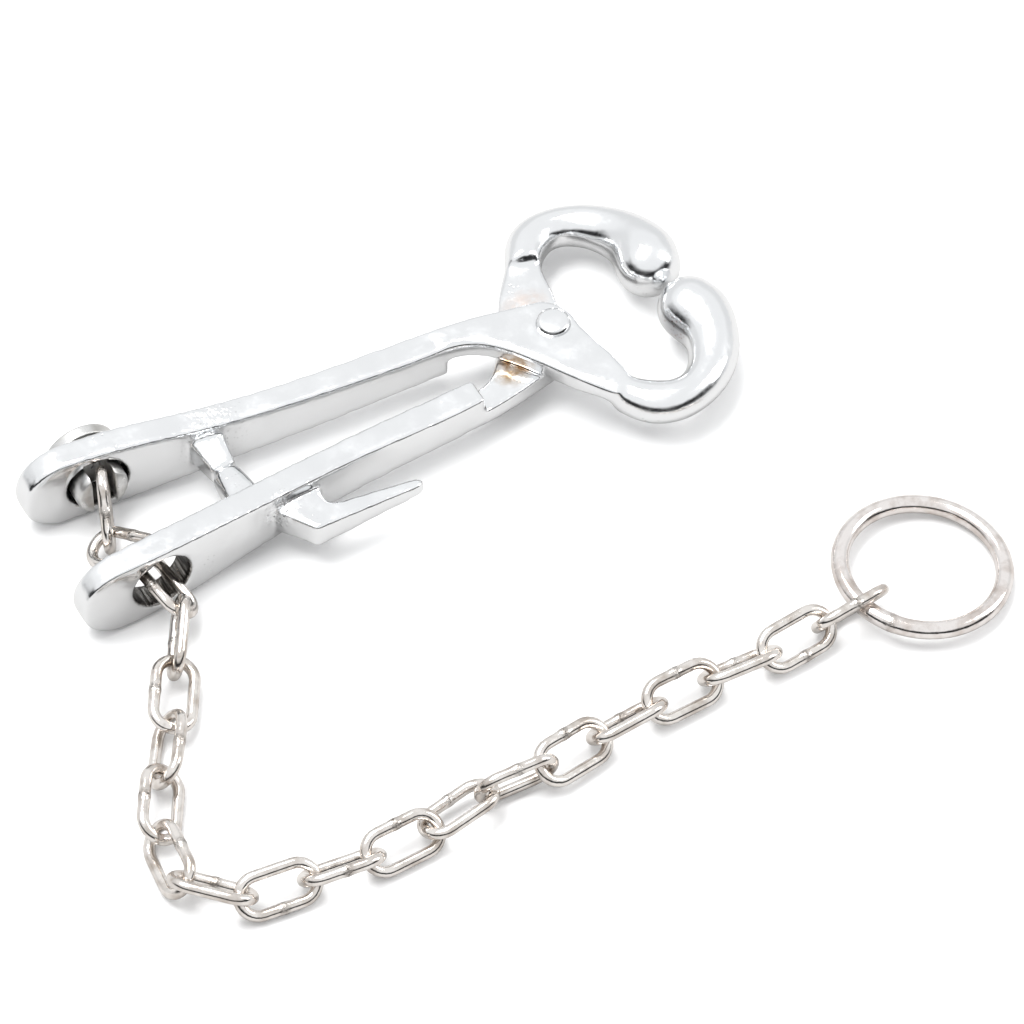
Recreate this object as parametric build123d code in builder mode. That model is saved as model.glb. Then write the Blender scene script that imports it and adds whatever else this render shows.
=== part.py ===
"""Bull nose lead: two lapped tong levers on one rivet, with a closing chain and a lead ring.

Millimetres, +Z up.  The origin lies on the ground under the pivot rivet.  +X runs from
the handle ends towards the nose bulbs.  The rear lever has its handle on +Y and its jaw on
-Y; the front lever mirrors it.  The two levers lap one over the other round the rivet, with
the rear lever on top, so opening the tongs turns the front lever about +Z.  The chain runs
from a turned stop in the rear handle, through the hole in the front handle, and along the
ground to a round ring.
"""
import os
from math import cos, radians, sin, sqrt

from build123d import *

os.makedirs("parts", exist_ok=True)

# ---- Driving dimensions, overall ------------------------------------------------------
rear_reach = 155.5          # pivot to the end of the rear handle
front_reach = 158.0         # pivot to the end of the front handle
handle_end_height = 24.0    # height of the paddle ends, which stand on the ground
mid_height = handle_end_height / 2   # parting plane between the two levers
handle_thickness = 8.4

# ---- Driving dimensions, head and jaws ------------------------------------------------
plate_thickness = 6.2       # each lapped head plate
lap_gap = 0.2               # between the two plates
lap_radius = 28.0           # reach of the flat lap round the pivot
shoulder_back = 29.5        # pivot to the square shoulder behind the lap
rivet_diameter = 8.0
rivet_clearance = 0.05      # radial, rivet in plates
rivet_head_diameter = 9.0
rivet_head_height = 0.8
rivet_head_gap = 0.02
arm_radius = 5.8            # round bar of the jaw arms
bulb_radius = 9.35
nose_gap = 1.2              # between the two bulbs when closed
bulb_forward = 38.5
front_jaw_setback = 2.2     # the front lever's jaw stops this much shorter
front_arm_drop = 2.4        # and its bend dips below the parting plane

# ---- Driving dimensions, handle fittings ----------------------------------------------
hole_diameter = 17.4        # chain holes in both handles
hole_back = 134.0           # pivot to the chain holes
post_back = 102.5           # pivot to the closing posts
post_gap = 0.3              # between the two posts when closed
stop_diameter = 15.5
stop_flange_diameter = 22.0
stop_flange_thickness = 3.4
stop_flange_gap = 0.7       # flange to the handle's outer wall
stop_reach = 4.0            # stands in from the handle's inner wall
slot_width = 7.0            # holds the first chain link
slot_depth = 11.0
slot_offset = 0.1           # slot middle, forward of the hole middle

# ---- Driving dimensions, chain and ring -----------------------------------------------
link_wire = 3.2
link_inner_length = 18.35
link_inner_width = 7.4
link_slack = 0.6            # free play between two linked wires
ring_wire = 5.0
ring_outer_diameter = 50.0
ring_slack = 3.4          # the ring lies a little inside the last link

# How each link lies: heading and climb of its long axis, and its roll about it, in degrees.
# A roll of 0 lies flat and 90 stands on edge.  The first link leans into the stop's slot.
chain_lay = [
    (-110.8, -44.6, 93.6), (-62.7, 23.3, 14), (-77.8, -14.6, -39.2), (-122.4, -13.2, 73.7),
    (-121.5, -2.5, -18), (-123.5, 0, 50), (-121.5, -0.5, -38), (-97, 6, 48),
    (-42, -6, -42), (-6.5, 0, 44), (-6.5, 0, -44), (2, 0, 38),
    (8.5, 4, -22), (-3, 1.5, -80), (9, -3.5, 36), (3, 2.5, -46),
    (2.5, -1.5, 38), (-4, 2.5, -46), (4.5, 2, 38), (5, 0.5, -62),
]
chain_start = (-133.3, 14.1, 18.4)    # end of the first link, held in the stop's slot

# ---- Derived positions ----------------------------------------------------------------
bulb_side = bulb_radius + nose_gap / 2
link_bend_radius = (link_inner_width + link_wire) / 2
handle_stations = [(31.0, 10.6, 5.7), (63.0, 12.1, 6.7), (103.0, 15.7, 8.9)]
hole_side = 19.4            # middle of the handle wall at the chain holes
inner_wall = hole_side - handle_thickness / 2
outer_wall = hole_side + handle_thickness / 2


# ---- Levers ---------------------------------------------------------------------------
def handle_bar(side, reach):
    """A flat bar: its plan outline and its side outline, crossed."""
    end_radius = handle_end_height / 2
    half = handle_thickness / 2
    with BuildPart() as plan_bar:
        with BuildSketch(Plane.XY):
            with BuildLine():
                inner = [(-12, side * 6.0)]
                outer = [(-12, side * 11.6)]
                for back, offset, _ in handle_stations:
                    inner.append((-back, side * (offset - half)))
                    outer.append((-back, side * (offset + half)))
                inner.append((-hole_back, side * inner_wall))
                outer.append((-hole_back, side * outer_wall))
                inner.append((-reach, side * (inner_wall + 1.2)))
                outer.append((-reach, side * (outer_wall + 0.2)))
                inner_edge = Spline(*inner)
                outer_edge = Spline(*outer)
                Line(inner_edge @ 0, outer_edge @ 0)
                Line(inner_edge @ 1, outer_edge @ 1)
            make_face()
        extrude(amount=handle_end_height)
    with BuildPart() as bar:
        add(plan_bar.part)
        with BuildSketch(Plane.XZ):
            with BuildLine():
                top = [(-10, mid_height + plate_thickness)]
                low = [(-10, mid_height - plate_thickness)]
                for back, _, rise in handle_stations:
                    top.append((-back, mid_height + rise))
                    low.append((-back, mid_height - rise))
                turn = -(reach - end_radius)
                top.append((turn, handle_end_height))
                low.append((turn, 0))
                top_edge = Spline(*top, tangents=((-1, 0), (-1, 0)))
                low_edge = Spline(*low, tangents=((-1, 0), (-1, 0)))
                ThreePointArc(top_edge @ 1, (-reach, mid_height), low_edge @ 1)
                Line(top_edge @ 0, low_edge @ 0)
            make_face()
        extrude(amount=60, both=True, mode=Mode.INTERSECT)
    return bar.part


def head_plate(side):
    """The lapped plate: from the handle, round the rivet, and out to the other side's jaw."""
    base = mid_height if side > 0 else mid_height - plate_thickness
    heel = 0.0 if side > 0 else 1.6
    with BuildPart() as plate:
        with BuildSketch(Plane.XY.offset(base)):
            with BuildLine():
                outer_edge = Spline(
                    (-31, side * 6.2),
                    (-22.5, side * 4.0),
                    (-13.2 - heel, side * -6.0),
                    (-3.6 - heel, side * -21.5),
                    (3.2 - heel / 2, side * -31.0),
                )
                throat = Line((10.2, side * -24.8), (6.0, side * -4.0))
                Line(outer_edge @ 1, throat @ 0)
                boss = ThreePointArc(throat @ 1, (5.2, side * 3.6), (1.2, side * 8.8))
                back = Line(boss @ 1, (-12, side * 11.6))
                Line(back @ 1, (-31, side * 14.0))
                Line((-31, side * 14.0), outer_edge @ 0)
            make_face()
        extrude(amount=plate_thickness)
    return plate.part


def jaw_arm(side):
    """A round bar that curls out, forward and back in, and swells into the nose bulb."""
    # forward, across, heading, radius, share of the front jaw's setback, share of its drop
    stations = [
        (1.4, -19.4, -57.0, arm_radius - 0.1, 0.2, 0.4),
        (8.6, -30.0, -48.0, arm_radius - 0.1, 0.6, 0.8),
        (19.6, -36.6, -4.0, arm_radius, 1.0, 1.0),
        (30.6, -33.0, 42.0, arm_radius + 0.4, 1.0, 0.9),
        (37.4, -24.4, 66.0, arm_radius + 1.7, 1.0, 0.5),
        (39.4, -16.4, 88.0, arm_radius + 3.1, 1.0, 0.1),
        (bulb_forward, -bulb_side, 99.0, bulb_radius - 0.1, 1.0, 0.0),
    ]
    front = 1.0 if side < 0 else 0.0
    with BuildPart() as arm:
        for forward, across, turn, radius, back_share, drop_share in stations:
            direction = Vector(cos(radians(turn)), side * sin(radians(turn)), 0)
            centre = (
                forward - front * back_share * front_jaw_setback,
                side * across,
                mid_height - front * drop_share * front_arm_drop,
            )
            with BuildSketch(Plane(origin=centre, x_dir=(0, 0, 1), z_dir=direction)):
                Circle(radius)
        loft()
        with Locations((bulb_forward - front * front_jaw_setback, -side * bulb_side, mid_height)):
            Sphere(bulb_radius)
    return arm.part


def closing_post(side):
    """Posts cast on the inner walls; they meet and set the closed position."""
    meet = 0.8 + side * post_gap / 2
    root = side * (inner_wall - 1.5)
    with BuildPart() as post:
        root_plane = Plane(origin=(-post_back, root, mid_height + 0.5), z_dir=(0, -side, 0))
        end_plane = Plane(origin=(-post_back, meet, mid_height + 0.5), z_dir=(0, -side, 0))
        with BuildSketch(root_plane):
            RectangleRounded(10.5, 10.5, 2.0)
        with BuildSketch(end_plane):
            if side > 0:
                RectangleRounded(6.6, 7.4, 1.6)
            else:
                RectangleRounded(8.2, 8.2, 3.9)
        loft()
    return post.part


def lock_hook():
    """The prong on the front handle's outer wall, which holds a chain link."""
    with BuildPart() as hook:
        with BuildSketch(Plane.XY):
            with BuildLine():
                Polyline(
                    (-98.5, -16.5),
                    (-97.5, -20.5),
                    (-90.5, -30.6),
                    (-58.5, -29.6),
                    (-56.6, -28.6),
                    (-56.6, -27.2),
                    (-58.5, -26.2),
                    (-81.5, -24.2),
                    (-83.6, -22.4),
                    (-83.0, -16.5),
                    close=True,
                )
            make_face()
        extrude(amount=handle_end_height)
        with BuildSketch(Plane.XZ):
            with BuildLine():
                Polyline(
                    (-102, mid_height + 4.6),
                    (-84, mid_height + 3.6),
                    (-58, mid_height + 1.6),
                    (-54, mid_height + 0.6),
                    (-54, mid_height - 2.2),
                    (-58, mid_height - 2.8),
                    (-84, mid_height - 4.2),
                    (-102, mid_height - 5.2),
                    close=True,
                )
            make_face()
        extrude(amount=60, both=True, mode=Mode.INTERSECT)
    return hook.part


def lap_cut(side):
    """The space that the other lever's head plate turns in, with a square shoulder behind."""
    reach_out = handle_end_height
    centre = mid_height + side * (lap_gap / 2 - reach_out / 2)
    with BuildPart() as cut:
        with Locations((0, 0, centre)):
            Cylinder(lap_radius, reach_out)
        with Locations((-shoulder_back + 10, side * 10, centre)):
            Box(20, 20, reach_out)
    return cut.part


def rivet_bore():
    with BuildPart() as bore:
        with Locations((0, 0, mid_height)):
            Cylinder(rivet_diameter / 2 + rivet_clearance, handle_end_height)
    return bore.part


def chain_bore(side):
    with BuildPart() as bore:
        with Locations(Location((-hole_back, side * hole_side, mid_height), (90, 0, 0))):
            Cylinder(hole_diameter / 2, handle_thickness * 2)
    return bore.part


with BuildPart() as rear_lever:
    add(handle_bar(1, rear_reach))
    add(head_plate(1))
    add(jaw_arm(1))
    add(lap_cut(1), mode=Mode.SUBTRACT)
    add(closing_post(1))
    add(rivet_bore(), mode=Mode.SUBTRACT)
    add(chain_bore(1), mode=Mode.SUBTRACT)
rear_lever.part.label = "rear_lever"
export_step(rear_lever.part, "parts/rear_lever.step")

with BuildPart() as front_lever:
    add(handle_bar(-1, front_reach))
    add(head_plate(-1))
    add(jaw_arm(-1))
    add(lap_cut(-1), mode=Mode.SUBTRACT)
    add(closing_post(-1))
    add(lock_hook())
    add(rivet_bore(), mode=Mode.SUBTRACT)
    add(chain_bore(-1), mode=Mode.SUBTRACT)
front_lever.part.label = "front_lever"
export_step(front_lever.part, "parts/front_lever.step")


# ---- Rivet ----------------------------------------------------------------------------
rivet_head_base = plate_thickness + rivet_head_gap
with BuildPart() as pivot_rivet:
    with Locations((0, 0, mid_height)):
        Cylinder(rivet_diameter / 2, 2 * rivet_head_base)
    head_middle = rivet_head_base + rivet_head_height / 2
    with Locations((0, 0, mid_height + head_middle), (0, 0, mid_height - head_middle)):
        Cylinder(rivet_head_diameter / 2, rivet_head_height)
    fillet(pivot_rivet.edges().group_by(Axis.Z)[-1], 0.4)
pivot_rivet.part.label = "pivot_rivet"
export_step(pivot_rivet.part, "parts/pivot_rivet.step")


# ---- Chain stop -----------------------------------------------------------------------
stop_face = inner_wall - stop_reach
flange_base = outer_wall + stop_flange_gap
with BuildPart() as chain_stop:
    with BuildSketch(Plane(origin=(-hole_back, 0, mid_height), x_dir=(1, 0, 0), z_dir=(0, 0, 1))):
        with BuildLine():
            Polyline(
                (0, stop_face),
                (stop_diameter / 2 - 1.8, stop_face),
                (stop_diameter / 2 - 0.5, stop_face + 0.5),
                (stop_diameter / 2, stop_face + 1.8),
                (stop_diameter / 2, flange_base),
                (stop_flange_diameter / 2, flange_base),
                (stop_flange_diameter / 2, flange_base + stop_flange_thickness),
                (0, flange_base + stop_flange_thickness),
                close=True,
            )
        make_face()
    revolve(axis=Axis((-hole_back, 0, mid_height), (0, 1, 0)))
    with Locations((slot_offset - hole_back, stop_face + slot_depth / 2 - 1, mid_height)):
        Box(slot_width, slot_depth + 2, handle_end_height, mode=Mode.SUBTRACT)
chain_stop.part.label = "chain_stop"
export_step(chain_stop.part, "parts/chain_stop.step")


# ---- Chain ----------------------------------------------------------------------------
def link_axes(heading, climb, roll):
    """The long, cross and face directions of a link."""
    level = cos(radians(climb))
    along = Vector(
        level * cos(radians(heading)),
        level * sin(radians(heading)),
        sin(radians(climb)),
    )
    flat = Vector(-sin(radians(heading)), cos(radians(heading)), 0)
    lift = along.cross(flat)
    across = flat * cos(radians(roll)) + lift * sin(radians(roll))
    return along, across, along.cross(across)


def turn_arm(along, across, pull):
    """From the middle of a link's round turn to the place where a pull meets the wire."""
    level = along * along.dot(pull) + across * across.dot(pull)
    return level.normalized() * link_bend_radius


def chain_links():
    """Centre and directions of each link, from the stop to the ring."""
    half_straight = (link_inner_length - link_inner_width) / 2
    laid = []
    previous = None
    for heading, climb, roll in chain_lay:
        along, across, face = link_axes(heading, climb, roll)
        if previous is None:
            centre = Vector(*chain_start) + along * (half_straight + link_bend_radius)
        else:
            pull = (previous[1] + along).normalized()
            held_at = far_turn + turn_arm(previous[1], previous[2], pull)
            near_turn = held_at - pull * (link_wire + link_slack) + turn_arm(along, across, pull)
            centre = near_turn + along * half_straight
        far_turn = centre + along * half_straight
        previous = (centre, along, across, face)
        laid.append(previous)
    return laid


def chain_link(centre, along, across, face):
    """A round wire bent into a stadium."""
    straight = link_inner_length - link_inner_width
    with BuildPart() as link:
        with BuildLine(Plane(origin=centre, x_dir=along, z_dir=face)):
            Line((-straight / 2, link_bend_radius), (straight / 2, link_bend_radius))
            ThreePointArc(
                (straight / 2, link_bend_radius),
                (straight / 2 + link_bend_radius, 0),
                (straight / 2, -link_bend_radius),
            )
            Line((straight / 2, -link_bend_radius), (-straight / 2, -link_bend_radius))
            ThreePointArc(
                (-straight / 2, -link_bend_radius),
                (-straight / 2 - link_bend_radius, 0),
                (-straight / 2, link_bend_radius),
            )
        start = centre + across * link_bend_radius
        with BuildSketch(Plane(origin=start, x_dir=across, z_dir=along)):
            Circle(link_wire / 2)
        sweep()
    return link.part


links = chain_links()
for number, (centre, along, across, face) in enumerate(links, start=1):
    link = chain_link(centre, along, across, face)
    link.label = f"link_{number:02d}"
    export_step(link, f"parts/link_{number:02d}.step")


# ---- Ring -----------------------------------------------------------------------------
# The ring hangs in the last link's far turn and lies across that link's lower leg, so it is
# tilted: its far side touches the ground.
last_centre, last_along, last_across, last_face = links[-1]
ring_radius = (ring_outer_diameter - ring_wire) / 2
ring_hold = last_centre + last_along * (link_inner_length / 2 - ring_wire / 2 - ring_slack)
ring_heading = chain_lay[-1][0] + 4.0
ring_drop = ring_hold.Z - ring_wire / 2 - 0.1
ring_level = sqrt((2 * ring_radius) ** 2 - ring_drop ** 2)
ring_along = Vector(
    cos(radians(ring_heading)) * ring_level,
    sin(radians(ring_heading)) * ring_level,
    -ring_drop,
).normalized()
ring_centre = ring_hold + ring_along * ring_radius
ring_tangent = Vector(-sin(radians(ring_heading)), cos(radians(ring_heading)), 0)
with BuildPart(Plane(origin=ring_centre, x_dir=ring_along, z_dir=ring_along.cross(ring_tangent))) as lead_ring:
    Torus(ring_radius, ring_wire / 2)
lead_ring.part.label = "lead_ring"
export_step(lead_ring.part, "parts/lead_ring.step")
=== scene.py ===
# %% [markdown]
# # A bull nose lead, finished in Blender
#
# The object is a pair of nose tongs: two cast steel levers that lap over each other on one
# rivet, with a ball on the end of each jaw.  A chain runs from a turned stop in one handle,
# through a hole in the other, to a round ring.  All of it is bright plated.  The engineering
# model gives each piece its place and size, and this lesson gives it edges, welds and metal.

import math

import bmesh
import bpy
import numpy as np
from mathutils import Matrix, Vector


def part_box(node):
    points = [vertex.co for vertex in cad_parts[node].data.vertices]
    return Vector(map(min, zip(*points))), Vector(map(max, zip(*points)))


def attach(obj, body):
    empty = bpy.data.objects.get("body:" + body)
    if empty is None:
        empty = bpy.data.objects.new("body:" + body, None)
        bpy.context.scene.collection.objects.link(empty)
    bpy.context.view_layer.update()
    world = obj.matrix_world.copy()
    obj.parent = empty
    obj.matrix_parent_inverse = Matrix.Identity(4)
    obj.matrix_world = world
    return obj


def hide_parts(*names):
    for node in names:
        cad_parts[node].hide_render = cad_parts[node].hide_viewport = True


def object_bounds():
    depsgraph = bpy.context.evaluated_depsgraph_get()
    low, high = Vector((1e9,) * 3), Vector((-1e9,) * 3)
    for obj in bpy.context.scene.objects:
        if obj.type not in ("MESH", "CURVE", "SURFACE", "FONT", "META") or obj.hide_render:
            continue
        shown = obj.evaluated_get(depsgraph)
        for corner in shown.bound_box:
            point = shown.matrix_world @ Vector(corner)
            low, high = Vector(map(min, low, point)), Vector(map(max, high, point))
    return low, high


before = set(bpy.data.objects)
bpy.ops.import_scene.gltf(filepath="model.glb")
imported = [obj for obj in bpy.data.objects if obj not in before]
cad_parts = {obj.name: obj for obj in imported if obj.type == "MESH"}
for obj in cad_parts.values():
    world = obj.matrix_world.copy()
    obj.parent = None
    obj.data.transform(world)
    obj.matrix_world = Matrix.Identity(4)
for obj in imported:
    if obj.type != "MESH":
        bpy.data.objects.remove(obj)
cad_box = [list(corner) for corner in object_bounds()]
scene = bpy.context.scene
MM = 0.001
print("pieces in the frame:", len(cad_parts))

# %% [markdown]
# ## The tools and values that everything uses
#
# A colour is written as the sRGB hex value that a designer would pick, and one function turns
# it into the linear numbers that a shader needs.  Pattern scales are written as real sizes in
# millimetres, because a texture's scale is only "how many per metre".

# %% Colour and pattern helpers
def linear(colour):
    """An sRGB hex colour as linear red, green, blue and alpha."""
    parts = [int(colour[i:i + 2], 16) / 255 for i in (1, 3, 5)]
    return tuple(c / 12.92 if c <= 0.04045 else ((c + 0.055) / 1.055) ** 2.4 for c in parts) + (1.0,)


def every(size_mm):
    """The texture scale that gives one feature for each size_mm."""
    return 1 / (size_mm * MM)


def add_node(tree, kind, links=None, **settings):
    """A shader node with its settings, its socket values (names or numbers) and its links."""
    made = tree.nodes.new(kind)
    values = settings.pop("values", {})
    for name, value in settings.items():
        setattr(made, name, value)
    for socket, value in values.items():
        made.inputs[socket].default_value = value
    for socket, source in (links or {}).items():
        tree.links.new(source, made.inputs[socket])
    return made


def add_math(tree, operation, first, second=None, third=None, clamp=False):
    """A Math node's result; each input is a socket or a number."""
    made = tree.nodes.new("ShaderNodeMath")
    made.operation = operation
    made.use_clamp = clamp
    for place, given in enumerate((first, second, third)):
        if given is None:
            continue
        if isinstance(given, (int, float)):
            made.inputs[place].default_value = given
        else:
            tree.links.new(given, made.inputs[place])
    return made.outputs[0]


# %% [markdown]
# ## Camera, floor and light
#
# The tool lies on a seamless white sheet and is seen from above the front handle, through a long
# lens.  A long lens keeps the far handle almost as large as the near one.  Bright metal has
# almost no colour of its own: it shows the room.  So the room matters more than the lamps do.  It
# is white, with one dark strip low behind the camera, broken up by noise.  That strip draws
# the dark streaks along the edges that lean towards the camera, and leaves the far edges white.
#
# The Standard view transform keeps white paper white.  A filmic one would turn it grey.

# %% Camera
VIEW_TURN = math.radians(29.3)
VIEW_RISE = math.radians(52.0)
VIEW_DISTANCE = 1.5
LOOKED_AT = Vector((-35.8, -40.4, 0.0)) * MM
LENS_ANGLE = math.radians(10.71)

away = Vector((
    -math.sin(VIEW_TURN) * math.cos(VIEW_RISE),
    -math.cos(VIEW_TURN) * math.cos(VIEW_RISE),
    math.sin(VIEW_RISE),
))
camera_data = bpy.data.cameras.new("studio_camera")
camera_data.sensor_width = 36.0
camera_data.angle = LENS_ANGLE
camera_data.clip_start = 0.05
camera_data.clip_end = 20.0
camera = bpy.data.objects.new("studio_camera", camera_data)
scene.collection.objects.link(camera)
camera.location = LOOKED_AT + away * VIEW_DISTANCE
camera.rotation_euler = (-away).to_track_quat("-Z", "Y").to_euler()
scene.camera = camera
scene.view_settings.view_transform = "Standard"
print("camera stands", [round(v, 3) for v in camera.location])


# %% [markdown]
# The paper is lit until it is pure white, and bright metal above it would mirror nothing but white.
# A Light Path node tells the paper who is looking: the camera sees white, and a reflection sees
# a softer grey.  That keeps the walls of the levers readable.

# %% Floor
def paper(name, seen, mirrored):
    """Matt paper, with one colour for the camera and a greyer one for reflections."""
    material = bpy.data.materials.new(name)
    material.use_nodes = True
    tree = material.node_tree
    surface = tree.nodes["Principled BSDF"]
    mirror = add_node(tree, "ShaderNodeLightPath").outputs["Is Glossy Ray"]
    mix = add_node(tree, "ShaderNodeMix", data_type="RGBA", links={0: mirror})
    mix.inputs[6].default_value = linear(seen)
    mix.inputs[7].default_value = linear(mirrored)
    tree.links.new(mix.outputs[2], surface.inputs["Base Color"])
    surface.inputs["Roughness"].default_value = 0.9
    surface.inputs["Specular IOR Level"].default_value = 0.1
    return material


floor_level = cad_box[0][2] - 0.05 * MM
sheet = bmesh.new()
bmesh.ops.create_grid(sheet, x_segments=1, y_segments=1, size=4.0)
bmesh.ops.translate(sheet, verts=sheet.verts, vec=(0, 0, floor_level))
floor_mesh = bpy.data.meshes.new("floor")
sheet.to_mesh(floor_mesh)
sheet.free()
floor = bpy.data.objects.new("floor", floor_mesh)
floor.data.materials.append(paper("white_paper", "#FDFDFD", "#C3C2C1"))
scene.collection.objects.link(floor)


# %% Lamps
def soft_box(name, place, width, height, power):
    """A rectangular studio lamp aimed at the tool."""
    lamp_data = bpy.data.lights.new(name, "AREA")
    lamp_data.shape = "RECTANGLE"
    lamp_data.size = width
    lamp_data.size_y = height
    lamp_data.energy = power
    lamp = bpy.data.objects.new(name, lamp_data)
    lamp.location = place
    lamp.rotation_euler = (LOOKED_AT - Vector(place)).to_track_quat("-Z", "Y").to_euler()
    scene.collection.objects.link(lamp)


soft_box("overhead", (-0.3, 0.35, 1.5), 1.2, 0.8, 24.0)
soft_box("side_fill", (1.1, -0.5, 0.8), 0.5, 0.9, 6.0)

# %% [markdown]
# The room is a world shader.  A direction's height picks the strip's darkness through a colour
# ramp, and its dot product with the way to the camera side says how far round it is.  Noise is
# added to that, so the strip's ends are ragged, as the clutter of a real room would make them.

# %% Room
ROOM_WHITE = "#FAFBFC"
STRIP_DARK = "#141416"
STRIP_HEIGHTS = ((0.0, 0.55), (0.12, 1.0), (0.36, 0.97), (0.52, 0.0))

room = bpy.data.worlds.new("studio_room")
room.use_nodes = True
scene.world = room
room_tree = room.node_tree
room_tree.nodes.clear()
facing = add_node(room_tree, "ShaderNodeTexCoord").outputs["Generated"]
heights = add_node(room_tree, "ShaderNodeSeparateXYZ", links={0: facing}).outputs["Z"]
behind = add_node(
    room_tree,
    "ShaderNodeVectorMath",
    operation="DOT_PRODUCT",
    links={0: facing},
    values={1: (-math.sin(VIEW_TURN), -math.cos(VIEW_TURN), 0.0)},
).outputs["Value"]
patches = add_node(
    room_tree, "ShaderNodeTexNoise", links={"Vector": facing}, values={"Scale": 2.2, "Detail": 3.0}
).outputs["Fac"]
dark_side = add_node(
    room_tree,
    "ShaderNodeMapRange",
    links={"Value": add_math(room_tree, "MULTIPLY_ADD", patches, 1.2, behind)},
    clamp=True,
    values={"From Min": 0.45, "From Max": 0.9, "To Min": 0.15, "To Max": 1.0},
).outputs["Result"]
strip = add_node(room_tree, "ShaderNodeValToRGB", links={0: heights})
stops = strip.color_ramp.elements
stops[0].position, stops[1].position = STRIP_HEIGHTS[0][0], STRIP_HEIGHTS[-1][0]
for height, _ in STRIP_HEIGHTS[1:-1]:
    stops.new(height)
for stop, (_, share) in zip(stops, STRIP_HEIGHTS):
    stop.color = (share, share, share, 1.0)
walls = add_node(
    room_tree,
    "ShaderNodeMix",
    data_type="RGBA",
    links={0: add_math(room_tree, "MULTIPLY", strip.outputs["Color"], dark_side)},
    values={6: linear(ROOM_WHITE), 7: linear(STRIP_DARK)},
)
sky = add_node(room_tree, "ShaderNodeBackground", links={"Color": walls.outputs[2]})
add_node(room_tree, "ShaderNodeOutputWorld", links={"Surface": sky.outputs["Background"]})
print("the dark strip ends at height", STRIP_HEIGHTS[-1][0])

# %% [markdown]
# ## Metals
#
# ** Bright plating over a casting.** Nickel and chrome follow the skin that they are plated on, so
# a cast lever stays slightly wavy, and small pits show as dark specks.  They are thickest
# at the root of the rear post.  A metal's colour is its reflection, so the differences sit in
# roughness and bump, and only marks and painted light change the colour: pits, rust on the inner
# side of one bulb, painted shade on the scored walls of the drilled holes with the scores darker
# still, a golden painted shade and reflection where the levers lap, and a grey painted reflection
# on the inner side of that bulb.

# %% A fresh metal
def metal(name, colour, roughness):
    """A metal material, its node tree, its shader and its object coordinates."""
    material = bpy.data.materials.new(name)
    material.use_nodes = True
    tree = material.node_tree
    surface = tree.nodes["Principled BSDF"]
    surface.inputs["Base Color"].default_value = linear(colour)
    surface.inputs["Metallic"].default_value = 1.0
    surface.inputs["Roughness"].default_value = roughness
    place = add_node(tree, "ShaderNodeTexCoord").outputs["Object"]
    return material, tree, surface, place


def noise(tree, place, size_mm, detail=2.0, stretch=None):
    """Cloudy values from 0 to 1, one cloud for each size_mm, stretched along an axis if asked."""
    if stretch:
        place = add_node(
            tree, "ShaderNodeMapping", links={"Vector": place}, values={"Scale": stretch}
        ).outputs["Vector"]
    return add_node(
        tree,
        "ShaderNodeTexNoise",
        links={"Vector": place},
        values={"Scale": every(size_mm), "Detail": detail},
    ).outputs["Fac"]


def ramp(tree, value, low, high, start=0.0, end=1.0):
    """value from low to high becomes start to end, and stops there."""
    return add_node(
        tree,
        "ShaderNodeMapRange",
        links={"Value": value},
        clamp=True,
        values={"From Min": low, "From Max": high, "To Min": start, "To Max": end},
    ).outputs["Result"]


def near(tree, place, centre, radius_mm, flatten=(1, 1, 1)):
    """1 at centre, fading to 0 at radius_mm; an axis with a flatten of 0 is ignored."""
    moved = add_node(
        tree,
        "ShaderNodeVectorMath",
        operation="SUBTRACT",
        links={0: place},
        values={1: tuple(v * MM for v in centre)},
    ).outputs[0]
    masked = add_node(
        tree, "ShaderNodeVectorMath", operation="MULTIPLY", links={0: moved}, values={1: flatten}
    ).outputs[0]
    reach = add_node(
        tree, "ShaderNodeVectorMath", operation="LENGTH", links={0: masked}
    ).outputs["Value"]
    return ramp(tree, reach, radius_mm * MM * 0.35, radius_mm * MM, 1.0, 0.0)


def blended(tree, first, second, share):
    """One colour over another; each is a socket or a hex colour."""
    mix = add_node(tree, "ShaderNodeMix", data_type="RGBA", links={0: share})
    for socket, given in ((6, first), (7, second)):
        if isinstance(given, str):
            mix.inputs[socket].default_value = linear(given)
        else:
            tree.links.new(given, mix.inputs[socket])
    return mix.outputs[2]


def bumped(tree, height, depth_mm, below=None):
    """A surface normal raised by height, depth_mm at most."""
    return add_node(
        tree,
        "ShaderNodeBump",
        links={"Height": height, **({"Normal": below} if below else {})},
        values={"Strength": 1.0, "Distance": depth_mm * MM},
    ).outputs["Normal"]


# %% Bright plating over cast steel
HOLE_BACK = -134.0
MID_HEIGHT = 12.0
POST_BACK = -102.5
POST_ROOT = (-100.0, 17.0, MID_HEIGHT + 2.0)
HOOK_ROOT = (-96.0, -19.5, MID_HEIGHT + 3.0)
LAP_RECESS = (-16.5, -5.0, MID_HEIGHT - 1.0)
LAP_SEAM = (-1.0, 14.5, MID_HEIGHT)
BULB_INSIDE = (33.5, -14.5, MID_HEIGHT)
BRIGHT = "#F1F2F3"


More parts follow.
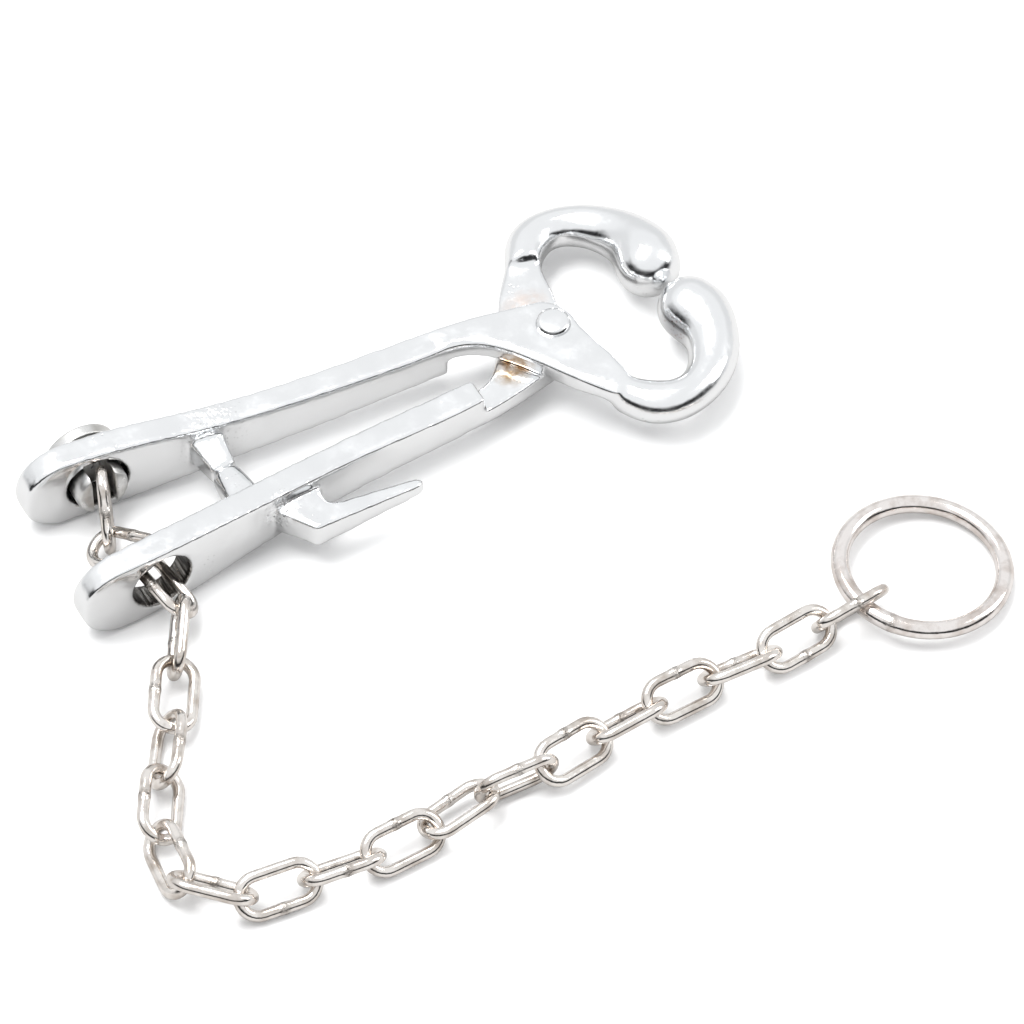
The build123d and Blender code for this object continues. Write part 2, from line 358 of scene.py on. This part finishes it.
def plated_casting():
    """Bright plating over an as-cast skin: soft waves, pits, rust, scored hole walls, and painted
    shade and reflection.
    """
    material, tree, surface, place = metal("bright_plated_cast_steel", BRIGHT, 0.12)
    cloud = noise(tree, place, 9.0, 3.0)
    fine = noise(tree, place, 0.9, 4.0)
    cells = add_node(
        tree, "ShaderNodeTexVoronoi", links={"Vector": place}, values={"Scale": every(1.3)}
    ).outputs["Distance"]
    dots = ramp(tree, cells, 0.08, 0.24, 1.0, 0.0)
    sparse = ramp(tree, noise(tree, place, 14.0, 2.0), 0.66, 0.76, 0.0, 0.8)
    roots = near(tree, place, POST_ROOT, 11.0, (0.8, 1, 1))
    hook = near(tree, place, HOOK_ROOT, 7.0)
    rough_skin = add_math(tree, "MAXIMUM", roots, hook)
    pits = add_math(tree, "MULTIPLY", dots, add_math(tree, "MAXIMUM", sparse, rough_skin))
    hole = near(tree, place, (HOLE_BACK, 0, MID_HEIGHT), 9.6, (1, 0, 1))
    # The hole's wall is painted darker grey as the shade that falls into the hole; the scoring lines
    # in it are darker still.
    shaded_hole_wall = ramp(tree, hole, 0.02, 0.12)
    scores = noise(tree, place, 0.8, 3.0, (1.0, 0.07, 1.0))
    scored = add_math(tree, "MULTIPLY", ramp(tree, scores, 0.40, 0.58), shaded_hole_wall)
    patchy = ramp(tree, noise(tree, place, 2.5, 3.0), 0.36, 0.62, 0.2, 0.9)
    # The lap recess gets a patchy golden brown: painted shade and reflection where one plate runs
    # under the other.
    lap = near(tree, place, LAP_RECESS, 6.5, (1, 1, 0.8))
    edge = near(tree, place, LAP_SEAM, 6.5, (0.8, 1.2, 1.2))
    lap_shade_and_reflection = add_math(tree, "MULTIPLY", lap, patchy)
    blush = add_math(tree, "MULTIPLY", edge, add_math(tree, "MULTIPLY", patchy, 0.45))
    # The grey patch on the inner side of the bulb is a painted reflection; the rust dots there are
    # rust.
    bulb = near(tree, place, BULB_INSIDE, 7.5)
    rust_dots = add_math(tree, "MULTIPLY", ramp(tree, cells, 0.14, 0.3, 1.0, 0.0), bulb)
    # Painted shade and reflection: golden brown in the lap recess.
    colour = blended(tree, BRIGHT, "#B08F62", lap_shade_and_reflection)
    colour = blended(tree, colour, "#F0D2BE", blush)
    # Painted reflection: a grey patch on the inner side of the bulb.
    colour = blended(tree, colour, "#9B9CA0", add_math(tree, "MULTIPLY", bulb, 0.9))
    colour = blended(tree, colour, "#7A4632", rust_dots)
    # Painted shade: the hole's wall in a darker grey.
    colour = blended(tree, colour, "#7E7C79", shaded_hole_wall)
    colour = blended(tree, colour, "#2E2C2A", scored)
    colour = blended(tree, colour, "#5B5854", pits)
    tree.links.new(colour, surface.inputs["Base Color"])
    base = ramp(tree, cloud, 0.35, 0.68, 0.06, 0.2)
    grain = ramp(tree, fine, 0.4, 0.7, 0.0, 0.08)
    roughness = add_math(tree, "ADD", base, grain)
    roughness = add_math(tree, "MULTIPLY_ADD", rough_skin, 0.08, roughness)
    roughness = add_math(tree, "MULTIPLY_ADD", scored, 0.25, roughness, clamp=True)
    tree.links.new(roughness, surface.inputs["Roughness"])
    waves = bumped(tree, noise(tree, place, 6.0, 2.0), 0.10)
    everywhere = add_math(tree, "ADD", rough_skin, 0.05)
    skin = add_math(tree, "MULTIPLY", noise(tree, place, 1.8, 4.0), everywhere)
    skinned = bumped(tree, skin, 0.6, waves)
    pitted = bumped(tree, add_math(tree, "MULTIPLY", pits, -1.0), 0.12, skinned)
    lined = bumped(tree, add_math(tree, "MULTIPLY", scored, -1.0), 0.06, pitted)
    tree.links.new(lined, surface.inputs["Normal"])
    return material


plated = plated_casting()
print("made", plated.name)

# %% [markdown]
# **Turned steel.** The stop was turned in a lathe and plated without polishing.  The tool leaves
# rings round the axis, too fine to count, which blur its reflection into a soft fan.

# %% Turned steel
STOP_SIDE = (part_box("chain_stop")[0][1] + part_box("chain_stop")[1][1]) / 2


def turned_steel():
    """Dull plated steel with turning rings round the stop's axis."""
    material, tree, surface, place = metal("turned_dull_plated_steel", "#DCDCDB", 0.3)
    centred = add_node(
        tree,
        "ShaderNodeMapping",
        links={"Vector": place},
        values={"Location": (-HOLE_BACK * MM, -STOP_SIDE, -MID_HEIGHT * MM)},
    ).outputs["Vector"]
    rings = add_node(
        tree,
        "ShaderNodeTexWave",
        wave_type="RINGS",
        rings_direction="Y",
        links={"Vector": centred},
        values={"Scale": every(0.35) / 20, "Distortion": 0.6, "Detail": 2.0, "Detail Scale": 2.0},
    ).outputs["Fac"]
    cloud = noise(tree, place, 4.0, 3.0)
    tone = blended(tree, "#E0E0DF", "#BDBBB7", ramp(tree, cloud, 0.4, 0.75))
    tree.links.new(tone, surface.inputs["Base Color"])
    roughness = add_math(tree, "MULTIPLY_ADD", rings, 0.06, ramp(tree, cloud, 0.3, 0.7, 0.24, 0.36))
    tree.links.new(roughness, surface.inputs["Roughness"])
    tree.links.new(bumped(tree, rings, 0.012), surface.inputs["Normal"])
    return material


turned = turned_steel()

# %% [markdown]
# **Plated chain wire.** Each link is drawn wire, bent round and welded shut in the middle of one
# leg.  The weld's heat leaves a darker, rougher bead under the plating.  The mesh carries
# a number called "weld" that is 1 on the bead, and the material reads it.

# %% Plated wire
def plated_wire(name, colour, shade, smoothest):
    """Bright plated drawn wire with shallow dents, and a dark rough bead at the weld."""
    material, tree, surface, place = metal(name, colour, smoothest)
    weld = add_node(tree, "ShaderNodeAttribute", attribute_name="weld").outputs["Fac"]
    speckle = ramp(tree, noise(tree, place, 0.7, 4.0), 0.5, 0.66)
    bead = add_math(tree, "MULTIPLY", weld, ramp(tree, speckle, 0.0, 1.0, 0.35, 1.0))
    cloud = noise(tree, place, 5.0, 3.0)
    tone = blended(tree, colour, shade, ramp(tree, cloud, 0.42, 0.72))
    tree.links.new(blended(tree, tone, "#4A443D", bead), surface.inputs["Base Color"])
    roughness = ramp(tree, cloud, 0.3, 0.75, smoothest, smoothest + 0.12)
    roughness = add_math(tree, "MULTIPLY_ADD", bead, 0.3, roughness, clamp=True)
    tree.links.new(roughness, surface.inputs["Roughness"])
    dents = bumped(tree, noise(tree, place, 2.4, 2.0), 0.07)
    scale = add_math(tree, "MULTIPLY", noise(tree, place, 0.6, 3.0), weld)
    rough_bead = bumped(tree, scale, 0.25, dents)
    tree.links.new(rough_bead, surface.inputs["Normal"])
    return material


chain_wire = plated_wire("bright_plated_chain_wire", "#EEE9E4", "#BFB5AC", 0.1)
ring_wire = plated_wire("bright_plated_ring_wire", "#F2EDEA", "#CFC4BD", 0.08)
print("wire finishes ready")

# %% [markdown]
# ## Finishing a piece
#
# Every new piece takes the same last steps: its faces are shaded smooth, it gets its material,
# and it rides on the body that it belongs to.

# %% Finish
def finish_piece(mesh, name, material, body, node):
    """The finished object for a mesh: smooth, with its metal, on its body, in place of its node."""
    mesh.shade_smooth()
    mesh.materials.clear()
    mesh.materials.append(material)
    piece = bpy.data.objects.new(name, mesh)
    scene.collection.objects.link(piece)
    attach(piece, body)
    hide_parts(node)
    return piece


# %% [markdown]
# ## The cast pieces
#
# The levers come out of a sand mould, so none of their edges is sharp and no face is quite flat.
# The engineering solid has the right outline but knife edges.  It could be bevelled edge by edge,
# but where the post, the hook and the plate run into the handle, the edges meet in knots.
# A voxel remesh gives an even skin of small quads instead, and smoothing that skin rounds each
# edge and fills each corner, as the foundry's fillets do.

# %% A cast skin
def shaped(mesh, name, add_modifiers):
    """The mesh that a few modifiers make of it."""
    rough = bpy.data.objects.new(name, mesh)
    scene.collection.objects.link(rough)
    add_modifiers(rough)
    made = bpy.data.meshes.new_from_object(rough.evaluated_get(bpy.context.evaluated_depsgraph_get()))
    bpy.data.objects.remove(rough)
    return made


def smooth(rough, passes, group=""):
    """Relaxes the skin, in one vertex group if it is named."""
    rounding = rough.modifiers.new("rounded_edges", "SMOOTH")
    rounding.factor = 0.5
    rounding.iterations = passes
    rounding.vertex_group = group


def cast_skin(node, grain_mm, passes, wave_mm=0.0, fillets=()):
    """A merged copy of a frame node with an even skin and rounded edges.

    fillets are groups of places, a radius and a number of passes, where it is relaxed further.
    """
    shape = bmesh.new()
    shape.from_mesh(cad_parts[node].data)
    bmesh.ops.remove_doubles(shape, verts=shape.verts, dist=0.002 * MM)
    solid = bpy.data.meshes.new(node + "_solid")
    shape.to_mesh(solid)
    shape.free()

    def even_skin(rough):
        skin = rough.modifiers.new("even_skin", "REMESH")
        skin.mode = "VOXEL"
        skin.voxel_size = grain_mm * MM
        smooth(rough, passes)

    def finer_shapes(rough):
        places = np.array([vert.co for vert in rough.data.vertices])
        for number, (centres, radius_mm, more) in enumerate(fillets):
            group = rough.vertex_groups.new(name=f"fillet_{number}")
            gaps = [np.linalg.norm(places - np.array(centre) * MM, axis=1) for centre in centres]
            near_by = 1.4 * (1 - np.min(gaps, axis=0) / (radius_mm * MM))
            for index in np.flatnonzero(near_by > 0):
                group.add([int(index)], min(float(near_by[index]), 1.0), "REPLACE")
            smooth(rough, more, group.name)
        if wave_mm:
            clouds = bpy.data.textures.new(node + "_waves", "CLOUDS")
            clouds.noise_scale = 9.0 * MM
            waves = rough.modifiers.new("cast_waves", "DISPLACE")
            waves.texture = clouds
            waves.texture_coords = "LOCAL"
            waves.strength = wave_mm * MM
            waves.mid_level = 0.5

    finished = shaped(shaped(solid, node + "_even", even_skin), node + "_cast", finer_shapes)
    print(node, "has", len(finished.polygons), "faces")
    return finished


# %% [markdown]
# The extra fillets go where the foundry's pattern was rounded most: where a jaw leaves its plate,
# along the upper plate's outer edge, round the roots of the posts and the hook, and at the handle
# ends.  Each is a group of places, a radius in millimetres and a number of passes.

# %% The two levers and the stop
PLATE_TOP = 18.2
PLATE_EDGE = (
    (-28, 5.6), (-24, 4.4), (-20, 2.0), (-16.5, -1.8), (-13.2, -6),
    (-10.5, -10.5), (-7.9, -14.8), (-5.4, -18.7), (-2.6, -22.9), (0.2, -26.9),
)
UPPER_EDGE = [(x, y, PLATE_TOP) for x, y in PLATE_EDGE]

finish_piece(
    cast_skin("rear_lever", 0.45, 34, 0.15, (
        ([(5.5, -27.5, MID_HEIGHT)], 12.0, 160),
        (UPPER_EDGE, 4.5, 70),
        ([(POST_BACK, 14.0, MID_HEIGHT)], 9.0, 30),
        ([(-150.0, 15.0, MID_HEIGHT + 8.0)], 11.0, 30),
    )),
    "rear_tong_casting", plated, "rear_tong", "rear_lever",
)
finish_piece(
    cast_skin("front_lever", 0.45, 34, 0.15, (
        ([(4.0, 27.5, MID_HEIGHT - 2.0)], 12.0, 160),
        ([(POST_BACK, -14.0, MID_HEIGHT)], 9.0, 30),
        ([(-94.0, -22.0, MID_HEIGHT)], 9.0, 30),
        ([(-152.0, -16.0, MID_HEIGHT + 8.0)], 11.0, 30),
    )),
    "front_tong_casting", plated, "front_tong", "front_lever",
)
finish_piece(
    cast_skin("chain_stop", 0.3, 5),
    "turned_stop", turned, "stop", "chain_stop",
)

# %% [markdown]
# ## The rivet
#
# A rivet is a headed pin whose other end was hammered over.  Only a low crowned disc shows on
# each side.  A short cylinder with stepped rims is enough, crowned by insetting its end
# faces and raising them a little.

# %% Rivet
def rivet_mesh():
    """The shank and both heads in one turned shape, crowned at both ends."""
    low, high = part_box("pivot_rivet")
    head_radius = (high.x - low.x) / 2
    shape = bmesh.new()
    bmesh.ops.create_cone(
        shape, cap_ends=True, segments=64,
        radius1=head_radius, radius2=head_radius, depth=high.z - low.z,
    )
    ends = [face for face in shape.faces if len(face.verts) > 4]
    bmesh.ops.inset_region(shape, faces=ends, thickness=0.9 * MM, depth=0.18 * MM)
    ends = [face for face in shape.faces if len(face.verts) > 4]
    bmesh.ops.inset_region(shape, faces=ends, thickness=1.6 * MM, depth=0.14 * MM)
    bmesh.ops.translate(shape, verts=shape.verts, vec=(low + high) / 2)
    bmesh.ops.recalc_face_normals(shape, faces=shape.faces)
    mesh = bpy.data.meshes.new("rivet")
    shape.to_mesh(mesh)
    shape.free()
    print("rivet faces", len(mesh.polygons))
    return mesh


finish_piece(rivet_mesh(), "hammered_rivet", plated, "rear_tong", "pivot_rivet")

# %% [markdown]
# ## The chain links
#
# A link is one round wire: two straight legs and two half turns.  In bmesh that is a circle,
# extruded along the first leg, spun half a turn, extruded back and spun again until it meets
# its start.  Where each link lies is read from the frame: the solid's long, wide and thin
# directions are the principal directions of its surface.

# %% Where a ring of wire lies
def lie_of(node):
    """The centre and the long, wide and thin directions of a frame node, as a matrix."""
    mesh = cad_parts[node].data
    mesh.calc_loop_triangles()
    places = np.array([v.co for v in mesh.vertices])
    corners = places[np.array([t.vertices for t in mesh.loop_triangles])]
    areas = np.linalg.norm(
        np.cross(corners[:, 1] - corners[:, 0], corners[:, 2] - corners[:, 0]), axis=1
    )
    middles = corners.mean(axis=1)
    centre = (middles * areas[:, None]).sum(axis=0) / areas.sum()
    spread = (middles - centre) * np.sqrt(areas)[:, None]
    _, directions = np.linalg.eigh(spread.T @ spread)
    long_way, wide_way = directions[:, 2], directions[:, 1]
    thin_way = np.cross(long_way, wide_way)
    lie = Matrix((long_way, wide_way, thin_way)).transposed().to_4x4()
    lie.translation = Vector(centre)
    return lie


# %% One link
LINK_WIRE = 3.2 * MM
LINK_LENGTH = 24.75 * MM
LINK_WIDTH = 13.8 * MM
LEG_STEPS = 14
TURN_STEPS = 14
WELD_WIDTH = 1.1 * MM
WELD_SWELL = 0.10


def extrude_leg(shape, edges, length, steps, weld_layer, welded):
    """Draws a ring of edges along X in steps, marking a bead round the middle if it is welded."""
    start = sum((v.co.x for e in edges for v in e.verts)) / (2 * len(edges))
    middle = start + length / 2
    for _ in range(steps):
        made = bmesh.ops.extrude_edge_only(shape, edges=edges)["geom"]
        edges = [g for g in made if isinstance(g, bmesh.types.BMEdge)]
        ring = [g for g in made if isinstance(g, bmesh.types.BMVert)]
        bmesh.ops.translate(shape, verts=ring, vec=(length / steps, 0, 0))
        away_from_weld = (ring[0].co.x - middle) / WELD_WIDTH
        bead = math.exp(-away_from_weld ** 2) if welded else 0.0
        for vert in ring:
            vert[weld_layer] = bead
    return edges


def swell_welds(shape, weld_layer, swell, leg_side):
    """Pushes the bead's points away from the leg's axis."""
    for vert in shape.verts:
        bead = vert[weld_layer]
        if bead > 0.01:
            side = leg_side if vert.co.y > 0 else -leg_side
            vert.co.y = side + (vert.co.y - side) * (1 + swell * bead)
            vert.co.z *= 1 + swell * bead


def link_mesh(lie, number):
    """A welded wire link, laid where the frame's link lies."""
    bend = (LINK_WIDTH - LINK_WIRE) / 2
    half_leg = LINK_LENGTH / 2 - LINK_WIDTH / 2
    shape = bmesh.new()
    weld_layer = shape.verts.layers.float.new("weld")
    circle = bmesh.ops.create_circle(shape, segments=20, radius=LINK_WIRE / 2)["verts"]
    bmesh.ops.rotate(shape, verts=circle, cent=(0, 0, 0), matrix=Matrix.Rotation(math.pi / 2, 3, "Y"))
    bmesh.ops.translate(shape, verts=circle, vec=(-half_leg, bend, 0))
    edges = extrude_leg(shape, list(shape.edges), 2 * half_leg, LEG_STEPS, weld_layer, True)
    turned_once = bmesh.ops.spin(
        shape, geom=edges, cent=(half_leg, 0, 0), axis=(0, 0, 1), angle=-math.pi, steps=TURN_STEPS
    )["geom_last"]
    edges = [g for g in turned_once if isinstance(g, bmesh.types.BMEdge)]
    edges = extrude_leg(shape, edges, -2 * half_leg, LEG_STEPS, weld_layer, False)
    bmesh.ops.spin(
        shape, geom=edges, cent=(-half_leg, 0, 0), axis=(0, 0, 1), angle=-math.pi, steps=TURN_STEPS
    )
    bmesh.ops.remove_doubles(shape, verts=shape.verts, dist=0.01 * MM)
    swell_welds(shape, weld_layer, WELD_SWELL, bend)
    if number % 3 == 1:
        half_turn = Matrix.Rotation(math.pi, 3, "X")
        bmesh.ops.rotate(shape, verts=shape.verts, cent=(0, 0, 0), matrix=half_turn)
    bmesh.ops.transform(shape, verts=shape.verts, matrix=lie)
    bmesh.ops.recalc_face_normals(shape, faces=shape.faces)
    mesh = bpy.data.meshes.new(f"link_{number:02d}")
    shape.to_mesh(mesh)
    shape.free()
    return mesh


link_nodes = sorted(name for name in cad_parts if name.startswith("link_"))
for number, node in enumerate(link_nodes, start=1):
    finish_piece(
        link_mesh(lie_of(node), number), f"welded_{node}", chain_wire, node, node
    )
print("links made:", len(link_nodes))

# %% [markdown]
# ## The lead ring
#
# The ring is a heavier wire, bent round and butt welded.  Spinning a circle through a full turn
# makes it, and use_merge closes the seam.  The weld is ground almost flush, so it only
# shows as a slight swelling.

# %% Ring
RING_WIRE = 5.0 * MM
RING_OUTSIDE = 50.0 * MM
RING_WELD_AT = math.radians(205)


def ring_mesh():
    """A butt welded wire ring, laid where the frame's ring lies."""
    middle_radius = (RING_OUTSIDE - RING_WIRE) / 2
    shape = bmesh.new()
    weld_layer = shape.verts.layers.float.new("weld")
    circle = bmesh.ops.create_circle(shape, segments=32, radius=RING_WIRE / 2)["verts"]
    bmesh.ops.rotate(shape, verts=circle, cent=(0, 0, 0), matrix=Matrix.Rotation(math.pi / 2, 3, "X"))
    bmesh.ops.translate(shape, verts=circle, vec=(middle_radius, 0, 0))
    bmesh.ops.spin(
        shape, geom=list(shape.edges), cent=(0, 0, 0), axis=(0, 0, 1),
        angle=2 * math.pi, steps=160, use_merge=True,
    )
    for vert in shape.verts:
        around = math.atan2(vert.co.y, vert.co.x) % (2 * math.pi)
        bead = math.exp(-((around - RING_WELD_AT) * middle_radius / (1.4 * MM)) ** 2)
        core = Vector((math.cos(around), math.sin(around), 0)) * middle_radius
        vert.co = core + (vert.co - core) * (1 + 0.05 * bead)
        vert[weld_layer] = 0.5 * bead
    bmesh.ops.transform(shape, verts=shape.verts, matrix=lie_of("lead_ring"))
    bmesh.ops.recalc_face_normals(shape, faces=shape.faces)
    mesh = bpy.data.meshes.new("lead_ring_wire")
    shape.to_mesh(mesh)
    shape.free()
    return mesh


finish_piece(ring_mesh(), "welded_lead_ring", ring_wire, "ring", "lead_ring")
